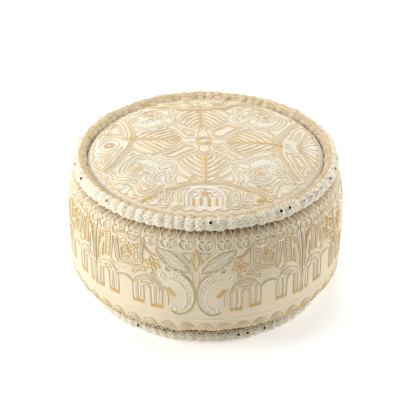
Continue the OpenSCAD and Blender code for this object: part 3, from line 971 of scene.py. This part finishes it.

# %% [markdown]
# ## The base and its zip
# The base is two half circles of plain cotton. Each has a folded edge along the zip, which
# lies in the middle. A grid is bent into a half disc, its straight edge is moved back to make
# the zip's window, and a slow noise gives it the soft waves of cloth that hangs free.

# %% Make the base panels
window = 6.5
tape_end = span("zip_tape_front")[1].x
base_z = span("base_panel_front")[0].z
base_r = span("base_panel_front")[1].x


def make_base(name, way, node):
    bm = bmesh.new()
    bmesh.ops.create_grid(bm, x_segments=90, y_segments=45, size=1.0)
    for v in bm.verts:
        across, up = v.co.x, (v.co.y + 1) / 2
        wide = sqrt(max(0.0, 1 - (up * 0.999) ** 2)) * (base_r - 0.6)
        v.co.x, v.co.y, v.co.z = across * wide * MM, way * up * (base_r - 0.6) * MM, 0
    for v in bm.verts:
        x, y = v.co.x / MM, v.co.y / MM
        inside = abs(x) < tape_end - 1
        y = way * max(abs(y), window if inside else 0.15)
        fold = 0.5 if inside and abs(y) < window + 4 else 0.0
        wave = noise.noise(Vector((x / 45, y / 30, way * 3.0))) * min(1.0, (base_r - hypot(x, y)) / 30) * 0.7
        v.co = Vector((x, y, base_z + 0.6 - fold - max(0.0, wave) * 0.8)) * MM
    bmesh.ops.dissolve_degenerate(bm, edges=bm.edges, dist=0.00002)
    piece = settle(bm, name, lambda c: Vector((0, 0, -1)))
    thick = piece.modifiers.new("cloth", "SOLIDIFY")
    thick.thickness = 0.9 * MM
    thick.offset = -1
    lay_uv(piece, lambda x, y, z, turn: (x, y))
    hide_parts(node)
    return piece


base_front = make_base("cover_base_front", -1, "base_panel_front")
base_back = make_base("cover_base_back", 1, "base_panel_back")
print("base panels:", len(base_front.data.polygons))

# %% [markdown]
# ## The zip
# A coil zip is two woven tapes with a nylon wire wound along the edge of each. The tapes are
# thin grids with a thickness, and each coil is a curve that goes round and round and is
# given a round section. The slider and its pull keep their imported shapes, with soft edges.

# %% Make the tapes, the coils and the topstitching
def make_tape(name, way, node):
    low, high = span(node)
    near, wide_tape = (low.y if way > 0 else high.y), high.y - low.y
    bm = bmesh.new()
    bmesh.ops.create_grid(bm, x_segments=160, y_segments=10, size=1.0)
    for v in bm.verts:
        x = v.co.x * (high.x - 0.2)
        share = (v.co.y + 1) / 2
        ripple = 0.12 * sin(x / 7.0) * share + 0.1 * noise.noise(Vector((x / 20, share * 3, way)))
        v.co = Vector((x, near + way * share * (wide_tape - 0.2), (low.z + high.z) / 2 + ripple)) * MM
    tape = settle(bm, name, lambda c: Vector((0, 0, -1)))
    thick = tape.modifiers.new("tape thickness", "SOLIDIFY")
    thick.thickness, thick.offset = 0.4 * MM, 0
    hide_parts(node)
    return tape


def make_coil(name, way, node):
    low, high = span(node)
    turn_length, run = 2.0, []
    mid_y, mid_z = (low.y + high.y) / 2, (low.z + high.z) / 2
    count = int((high.x - low.x - 1) / turn_length)
    for k in range(count * 8):
        a = 2 * pi * k / 8
        run.append(Vector((low.x + 0.5 + turn_length * (k / 8 + (0.5 if way > 0 else 0)), mid_y - way * 1.1 * cos(a),
                           mid_z + 0.8 * sin(a))) * MM)
    coil = wind(name, [run], 0.36, False)
    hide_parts(node)
    return coil


tapes = [make_tape("tape_front", -1, "zip_tape_front"), make_tape("tape_back", 1, "zip_tape_back")]
coils = [make_coil("coil_front", -1, "zip_coil_front"), make_coil("coil_back", 1, "zip_coil_back")]
dashes = []
for y in (-window - 3, window + 3):
    for x in np.arange(-tape_end + 4, tape_end - 4, 4.2):
        dashes.append([Vector((x + d, y, base_z + 0.05 - 0.25 * sin(pi * d / 2.8))) * MM
                       for d in (0, 0.7, 1.4, 2.1, 2.8)])
topstitch = wind("base_topstitch", dashes, 0.35, False)
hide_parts("zip_tape_stitches")
thread_pieces.append((topstitch, "white"))
print("coil:", len(coils[0].data.polygons), "faces, topstitches:", len(dashes))

# %% [markdown]
# ## Materials
# Cotton is matt, with a soft sheen at glancing angles, small slubs and a plain weave. The
# weave and the uneven colour are used by several cloths, so each is a node group that puts
# out a colour or a height. The shader stays in each material.

# %% The plain weave group
def group_of(name, inputs, outputs):
    group = bpy.data.node_groups.new(name, "ShaderNodeTree")
    for label, kind, value in inputs:
        socket = group.interface.new_socket(label, in_out="INPUT", socket_type=kind)
        socket.default_value = value
    for label, kind in outputs:
        group.interface.new_socket(label, in_out="OUTPUT", socket_type=kind)
    return group, group.nodes.new("NodeGroupInput"), group.nodes.new("NodeGroupOutput")


def maths(tree, operation, a, b=0.0, c=None):
    node = tree.nodes.new("ShaderNodeMath")
    node.operation = operation
    for socket, value in zip(node.inputs, (a, b, c)):
        if value is None:
            continue
        if hasattr(value, "links"):
            tree.links.new(value, socket)
        else:
            socket.default_value = value
    return node.outputs[0]


def colours(tree, factor, a, b, blend="MIX"):
    node = tree.nodes.new("ShaderNodeMix")
    node.data_type, node.blend_type = "RGBA", blend
    for socket, value in ((node.inputs["Factor"], factor), (node.inputs[6], a), (node.inputs[7], b)):
        if hasattr(value, "links"):
            tree.links.new(value, socket)
        else:
            socket.default_value = value
    return node.outputs[2]


def noise_at(tree, vector, scale, detail=2.0, rough=0.5):
    node = tree.nodes.new("ShaderNodeTexNoise")
    node.inputs["Scale"].default_value = scale
    node.inputs["Detail"].default_value = detail
    node.inputs["Roughness"].default_value = rough
    tree.links.new(vector, node.inputs["Vector"])
    return node.outputs["Fac"]


weave, w_in, w_out = group_of("plain weave",
                              [("Place", "NodeSocketVector", (0, 0, 0)), ("Threads per metre", "NodeSocketFloat", 900.0)],
                              [("Height", "NodeSocketFloat")])
parts = weave.nodes.new("ShaderNodeSeparateXYZ")
weave.links.new(w_in.outputs["Place"], parts.inputs[0])
pitch_out = w_in.outputs["Threads per metre"]
warp = maths(weave, "MULTIPLY", parts.outputs[0], pitch_out)
weft = maths(weave, "MULTIPLY", parts.outputs[1], pitch_out)
warp_hump = maths(weave, "ABSOLUTE", maths(weave, "SINE", maths(weave, "MULTIPLY", warp, pi)))
weft_hump = maths(weave, "ABSOLUTE", maths(weave, "SINE", maths(weave, "MULTIPLY", weft, pi)))
over = maths(weave, "MODULO", maths(weave, "ADD", maths(weave, "FLOOR", warp), maths(weave, "FLOOR", weft)), 2.0)
over = maths(weave, "ABSOLUTE", over)
height = maths(weave, "ADD", maths(weave, "MULTIPLY", warp_hump, over),
               maths(weave, "MULTIPLY", weft_hump, maths(weave, "SUBTRACT", 1.0, over)))
weave.links.new(height, w_out.inputs["Height"])

# %% The uneven colour group
mottle, m_in, m_out = group_of("uneven dye",
                               [("Place", "NodeSocketVector", (0, 0, 0)), ("Colour", "NodeSocketColor", (0.8, 0.7, 0.5, 1)),
                                ("Stain", "NodeSocketColor", (0.6, 0.5, 0.3, 1)), ("Patch size", "NodeSocketFloat", 9.0),
                                ("Strength", "NodeSocketFloat", 0.5)],
                               [("Colour", "NodeSocketColor"), ("Slub", "NodeSocketFloat")])
patch_node = mottle.nodes.new("ShaderNodeTexNoise")
patch_node.inputs["Detail"].default_value = 4.0
mottle.links.new(m_in.outputs["Place"], patch_node.inputs["Vector"])
mottle.links.new(m_in.outputs["Patch size"], patch_node.inputs["Scale"])
slub = noise_at(mottle, m_in.outputs["Place"], 420.0, 2.0, 0.6)
amount = maths(mottle, "MULTIPLY", maths(mottle, "ADD", maths(mottle, "MULTIPLY", patch_node.outputs["Fac"], 1.2),
                                         maths(mottle, "SUBTRACT", slub, 0.85)), m_in.outputs["Strength"])
amount_node = mottle.nodes.new("ShaderNodeClamp")
mottle.links.new(amount, amount_node.inputs["Value"])
mottle.links.new(colours(mottle, amount_node.outputs[0], m_in.outputs["Colour"], m_in.outputs["Stain"]),
                 m_out.inputs["Colour"])
mottle.links.new(slub, m_out.inputs["Slub"])


# %% The painted shade group
# Painted shade: a mask that is full at one height and fades out over a width, so that a material can darken its
# colour where a crease or the lower band lies in shade.
shade, s_in, s_out = group_of("soil in a fold",
                              [("Place", "NodeSocketVector", (0, 0, 0)), ("Height", "NodeSocketFloat", 0.03),
                               ("Width", "NodeSocketFloat", 0.008)],
                              [("Mask", "NodeSocketFloat")])
spot = shade.nodes.new("ShaderNodeSeparateXYZ")
shade.links.new(s_in.outputs["Place"], spot.inputs[0])
wobble = maths(shade, "MULTIPLY", noise_at(shade, s_in.outputs["Place"], 28.0, 2.0), s_in.outputs["Width"])
off_by = maths(shade, "SUBTRACT", maths(shade, "ADD", spot.outputs[2], wobble), s_in.outputs["Height"])
away_from = maths(shade, "ABSOLUTE", off_by)
near_fold = maths(shade, "SUBTRACT", 1.0, maths(shade, "DIVIDE", away_from, s_in.outputs["Width"]))
near_fold = maths(shade, "MAXIMUM", near_fold, 0.0)
shade.links.new(near_fold, s_out.inputs["Mask"])

# %% The plain patch group
plain_patch, p_in, p_out = group_of("plain patch",
                                    [("Place", "NodeSocketVector", (0, 0, 0)), ("Centre", "NodeSocketVector", (0, 0, 0)),
                                     ("Size", "NodeSocketFloat", 0.05)],
                                    [("Mask", "NodeSocketFloat")])
flat = plain_patch.nodes.new("ShaderNodeVectorMath")
flat.operation = "MULTIPLY"
flat.inputs[1].default_value = (1, 1, 0)
plain_patch.links.new(p_in.outputs["Place"], flat.inputs[0])
apart = plain_patch.nodes.new("ShaderNodeVectorMath")
apart.operation = "DISTANCE"
plain_patch.links.new(flat.outputs[0], apart.inputs[0])
plain_patch.links.new(p_in.outputs["Centre"], apart.inputs[1])
ragged = maths(plain_patch, "MULTIPLY", noise_at(plain_patch, p_in.outputs["Place"], 30.0, 2.0), 0.9)
within = maths(plain_patch, "DIVIDE", apart.outputs["Value"], p_in.outputs["Size"])
inside = maths(plain_patch, "SUBTRACT", 1.45, maths(plain_patch, "ADD", within, ragged))
inside = maths(plain_patch, "MULTIPLY", inside, 5.0)
inside = maths(plain_patch, "MINIMUM", maths(plain_patch, "MAXIMUM", inside, 0.0), 0.85)
plain_patch.links.new(inside, p_out.inputs["Mask"])

# %% [markdown]
# ## Cloth and thread finishes
# All of the cottons share one recipe, with their own colour, thread count and sheen. Cloth
# pieces read their own UV map, so the weave follows the cloth round the body. Thread and
# the hidden layers read Object coordinates.

# %% Make the cotton materials
def open_material(name):
    material = bpy.data.materials.new(name)
    material.use_nodes = True
    tree = material.node_tree
    shader = tree.nodes["Principled BSDF"]
    place = tree.nodes.new("ShaderNodeTexCoord")
    return material, tree, shader, place


def add_group(tree, group, **values):
    node = tree.nodes.new("ShaderNodeGroup")
    node.node_tree = group
    for label, value in values.items():
        socket = node.inputs[label.replace("_", " ")]
        if hasattr(value, "links"):
            tree.links.new(value, socket)
        else:
            socket.default_value = value
    return node


def add_bump(tree, shader, height, distance, strength=1.0):
    bump = tree.nodes.new("ShaderNodeBump")
    bump.inputs["Strength"].default_value = strength
    bump.inputs["Distance"].default_value = distance
    tree.links.new(height, bump.inputs["Height"])
    tree.links.new(bump.outputs["Normal"], shader.inputs["Normal"])


def dyed(tree, place, colour, stain, patch, strength):
    return add_group(tree, mottle, Place=place, Colour=colour, Stain=stain, Patch_size=patch, Strength=strength)


def cotton(name, colour, stain, threads, patch=9.0, strength=0.5, sheen=0.25, rough=0.92, uv=True,
           depth=0.25, painted_shade_bands=(), patches=()):
    material, tree, shader, place = open_material(name)
    where = place.outputs["UV" if uv else "Object"]
    dye = dyed(tree, place.outputs["Object"], colour, stain, patch, strength)
    yarn = add_group(tree, weave, Place=where, Threads_per_metre=threads)
    shown = dye.outputs["Colour"]
    # Painted shade: each entry darkens the colour in a band round one height, where the cloth lies in shade.
    for level, width, strength, tint in painted_shade_bands:
        painted_shade = add_group(tree, shade, Place=place.outputs["Object"], Height=level * MM, Width=width * MM)
        shown = colours(tree, maths(tree, "MULTIPLY", painted_shade.outputs["Mask"], strength), shown, tint)
    for x, y, size in patches:
        pale = add_group(tree, plain_patch, Place=place.outputs["Object"],
                         Centre=(x * MM, y * MM, 0), Size=size * MM)
        shown = colours(tree, pale.outputs["Mask"], shown, (0.80, 0.765, 0.69, 1))
    tree.links.new(shown, shader.inputs["Base Color"])
    shader.inputs["Roughness"].default_value = rough
    shader.inputs["Specular IOR Level"].default_value = 0.25
    shader.inputs["Sheen Weight"].default_value = sheen
    shader.inputs["Sheen Roughness"].default_value = 0.45
    height = maths(tree, "ADD", yarn.outputs["Height"], maths(tree, "MULTIPLY", dye.outputs["Slub"], 0.8))
    add_bump(tree, shader, height, depth * MM)
    return material


seat_cloth = cotton("cream cotton of the seat", (0.80, 0.72, 0.575, 1), (0.74, 0.645, 0.485, 1), 850.0, 7.0, 0.8,
                    patches=[(x, y, 52) for x in (-95, 95) for y in (-95, 98)]
                    + [(0, -178, 40), (-190, 0, 36), (190, 0, 36)])
# Painted shade on the band: a warmer, darker tone over its lower part, and dark bands in the creases at the foot and
# under the top roll.
ground = cotton("cream cotton of the band", (0.78, 0.675, 0.49, 1), (0.72, 0.605, 0.41, 1), 850.0, 7.0, 0.8,
                painted_shade_bands=((70, 60, 0.4, (0.70, 0.54, 0.30, 1)), (barrel(0)[1] - 1, 10, 1.0, (0.20, 0.14, 0.08, 1)),
                       (top_ring[1] - 11, 9, 1.0, (0.22, 0.15, 0.08, 1))))
# Painted shade on the rolls: a dark band on top of the lower roll, in the crease under the band, and a weaker one on
# the underside of the top roll.
roll_cloth = cotton("white roll cotton", (0.76, 0.675, 0.515, 1), (0.60, 0.49, 0.33, 1), 800.0, 30.0, 0.8,
                    painted_shade_bands=((low_ring[1] + roll_r + 1, 8, 1.0, (0.20, 0.14, 0.08, 1)),
                           (top_ring[1] - roll_r - 1, 6, 0.5, (0.25, 0.18, 0.10, 1))))
base_cloth = cotton("plain base cotton", (0.70, 0.60, 0.44, 1), (0.64, 0.53, 0.36, 1), 700.0, 7.0, 0.6)
calico = cotton("liner calico", (0.66, 0.57, 0.42, 1), (0.58, 0.48, 0.33, 1), 900.0, 8.0, 0.7, uv=False)
tape_cloth = cotton("zip tape twill", (0.60, 0.50, 0.34, 1), (0.52, 0.42, 0.27, 1), 1400.0, 20.0, 0.5)


def thread_material(name, colour, stain):
    material, tree, shader, place = open_material(name)
    dye = dyed(tree, place.outputs["Object"], colour, stain, 40.0, 0.7)
    tree.links.new(dye.outputs["Colour"], shader.inputs["Base Color"])
    shader.inputs["Roughness"].default_value = 0.7
    shader.inputs["Sheen Weight"].default_value = 0.3
    ply = tree.nodes.new("ShaderNodeTexWave")
    ply.bands_direction = "DIAGONAL"
    ply.inputs["Scale"].default_value = 260.0
    ply.inputs["Distortion"].default_value = 2.0
    tree.links.new(place.outputs["Object"], ply.inputs["Vector"])
    add_bump(tree, shader, ply.outputs["Fac"], 0.2 * MM)
    return material


threads = {"mustard": thread_material("mustard thread", (0.68, 0.45, 0.15, 1), (0.55, 0.35, 0.10, 1)),
           "khaki": thread_material("khaki thread", (0.60, 0.46, 0.22, 1), (0.50, 0.37, 0.16, 1)),
           "white": thread_material("white thread", (0.87, 0.81, 0.67, 1), (0.77, 0.69, 0.53, 1))}

# %% Make the glass, metal, nylon and filling materials
def plain_material(name, colour, stain, rough, metal=0.0, scale=60.0, depth=0.1, bump_scale=300.0):
    material, tree, shader, place = open_material(name)
    dye = dyed(tree, place.outputs["Object"], colour, stain, scale, 0.8)
    tree.links.new(dye.outputs["Colour"], shader.inputs["Base Color"])
    shader.inputs["Metallic"].default_value = metal
    grain = noise_at(tree, place.outputs["Object"], bump_scale, 3.0)
    tree.links.new(maths(tree, "ADD", maths(tree, "MULTIPLY", grain, 0.2), rough - 0.1), shader.inputs["Roughness"])
    add_bump(tree, shader, grain, depth * MM)
    return material


glass = plain_material("little mirrors", (0.045, 0.045, 0.048, 1), (0.02, 0.02, 0.022, 1), 0.14, 1.0, 200.0, 0.02)
metal = plain_material("zip metal", (0.62, 0.60, 0.56, 1), (0.48, 0.45, 0.40, 1), 0.36, 1.0, 150.0, 0.03)
nylon = plain_material("zip coil nylon", (0.62, 0.50, 0.32, 1), (0.55, 0.43, 0.26, 1), 0.42, 0.0, 90.0, 0.02)
wadding = plain_material("polyester wadding", (0.80, 0.79, 0.75, 1), (0.68, 0.67, 0.62, 1),
                         0.95, 0.0, 30.0, 2.5, 120.0)
foam = plain_material("core foam", (0.74, 0.66, 0.38, 1), (0.66, 0.57, 0.30, 1), 0.9, 0.0, 15.0, 1.0, 700.0)

# %% [markdown]
# ## Dressing the pieces
# Each new piece now gets its finish and the body that it rides on. The seat and the band get
# the thickness of their cloth last, inwards, so that the outer face stays where it was made.

# %% Dress the cloth
def dress(piece, material, body):
    piece.data.materials.clear()
    piece.data.materials.append(material)
    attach(piece, body)


def line_with_cloth(piece, thick=1.2):
    layer = piece.modifiers.new("cloth thickness", "SOLIDIFY")
    layer.thickness = thick * MM
    layer.offset = -1


for piece, node, fill in ((seat, "top_panel", 0.7), (band, "side_band", 0.75)):
    line_with_cloth(piece)
    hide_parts(node)
    dress(piece, seat_cloth if piece is seat else ground, "pouf")
for piece, node in ((top_roll, "top_roll_cover"), (low_roll, "bottom_roll_cover")):
    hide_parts(node)
    dress(piece, roll_cloth, "pouf")
for piece in (top_filling, low_filling, wrap):
    dress(piece, wadding, "pouf")
dress(bag, calico, "pouf")
for piece in (base_front, base_back):
    dress(piece, base_cloth, "pouf")
for piece in tapes:
    lay_uv(piece, lambda x, y, z, turn: (x, y))
    dress(piece, tape_cloth, "pouf")
for piece in coils:
    dress(piece, nylon, "pouf")
for piece in (top_mirrors, low_mirrors):
    dress(piece, glass, "pouf")
for piece, colour in thread_pieces:
    dress(piece, threads[colour], "pouf")

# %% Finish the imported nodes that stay
finishes = {
    "side_seam_tape": calico, "side_seam_stitches": threads["white"], "top_roll_wadding": wadding,
    "bottom_roll_wadding": wadding, "top_seam_stitches": threads["white"], "bottom_seam_stitches": threads["white"],
    "zip_tape_front": tape_cloth, "zip_tape_back": tape_cloth, "zip_coil_front": nylon, "zip_coil_back": nylon,
    "zip_tape_stitches": threads["white"], "zip_end_stops": metal, "zip_bottom_stop": metal, "zip_slider": metal,
    "zip_pull": metal, "liner_top": calico, "liner_base": calico,
    "top_wadding_pad": wadding, "base_wadding_pad": wadding, "core_block": foam,
    "top_panel": seat_cloth, "side_band": ground, "base_panel_front": base_cloth, "base_panel_back": base_cloth,
    "top_roll_cover": roll_cloth, "bottom_roll_cover": roll_cloth, "top_roll_ties": threads["white"],
    "bottom_roll_ties": threads["white"], "top_mirrors": glass, "bottom_mirrors": glass,
    "seat_embroidery": threads["mustard"], "side_embroidery": threads["mustard"],
}
for node, material in finishes.items():
    thing = frame["nodes"][node]
    thing.data.materials.clear()
    thing.data.materials.append(material)
for node in ("zip_slider", "zip_pull", "zip_end_stops", "zip_bottom_stop"):
    thing = frame["nodes"][node]
    weld = thing.modifiers.new("weld", "WELD")
    weld.merge_threshold = 0.01 * MM
    round_off = thing.modifiers.new("round", "BEVEL")
    round_off.width = 0.25 * MM
    round_off.segments = 2
    round_off.limit_method = "ANGLE"
print("finished nodes:", len(finishes))

# %% [markdown]
# ## Camera, light and floor
# The camera looks down at about 32 degrees through a long lens. A broad soft light stands
# at the left and one hangs overhead; a weak one at the right lifts the far edge. The floor
# and the surroundings are white and plain.

# %% Place the camera
tilt = radians(32.48)
far = 2.488
aim = Vector((0, 0, 0.142))
camera = add_object("camera", bpy.data.cameras.new("camera"))
camera.location = aim + far * Vector((0, -cos(tilt), sin(tilt)))
camera.rotation_euler = (pi / 2 - tilt, 0, 0)
camera.data.lens = 105.4
camera.data.sensor_width = 36
camera.data.shift_x, camera.data.shift_y = 0.0107, 0.0055
scene.camera = camera

# %% Set the lights and the floor
def soft_light(name, place, size, watts):
    lamp = bpy.data.lights.new(name, "AREA")
    lamp.shape, lamp.size, lamp.size_y, lamp.energy = "RECTANGLE", size, size, watts
    light = add_object(name, lamp)
    light.location = place
    light.rotation_euler = (Vector((0, 0, 0.15)) - Vector(place)).to_track_quat("-Z", "Y").to_euler()


soft_light("left window", (-2.2, -0.5, 1.05), 1.4, 51)
soft_light("overhead", (-0.2, 0.8, 2.4), 1.6, 40)
soft_light("right fill", (2.4, 0.3, 0.8), 1.2, 38)
world = bpy.data.worlds.new("white room")
scene.world = world
world.use_nodes = True
world.node_tree.nodes["Background"].inputs["Color"].default_value = (1, 1, 1, 1)
world.node_tree.nodes["Background"].inputs["Strength"].default_value = 0.37
room = world.node_tree
seen = room.nodes.new("ShaderNodeBackground")
seen.inputs["Strength"].default_value = 1.05
ray = room.nodes.new("ShaderNodeLightPath")
choose = room.nodes.new("ShaderNodeMixShader")
room.links.new(ray.outputs["Is Camera Ray"], choose.inputs["Fac"])
room.links.new(room.nodes["Background"].outputs[0], choose.inputs[1])
room.links.new(seen.outputs[0], choose.inputs[2])
room.links.new(choose.outputs[0], room.nodes["World Output"].inputs["Surface"])
bm = bmesh.new()
bmesh.ops.create_grid(bm, x_segments=1, y_segments=1, size=12)
floor = settle(bm, "floor")
paint, tree, shader, place = open_material("pale floor")
shader.inputs["Base Color"].default_value = (0.9, 0.9, 0.9, 1)
shader.inputs["Roughness"].default_value = 0.9
shader.inputs["Emission Color"].default_value = (1, 1, 1, 1)
shader.inputs["Emission Strength"].default_value = 0.27
floor.data.materials.append(paint)
floor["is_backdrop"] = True
scene.view_settings.view_transform = "Standard"
scene.view_settings.look = "None"

# %% Check the size and finish
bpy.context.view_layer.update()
widest = sorted(((max(abs(c) for corner in o.bound_box for c in corner[:2]) / MM, o.name)
                 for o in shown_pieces()), reverse=True)
print("widest:", [(round(w, 1), n) for w, n in widest[:6]])
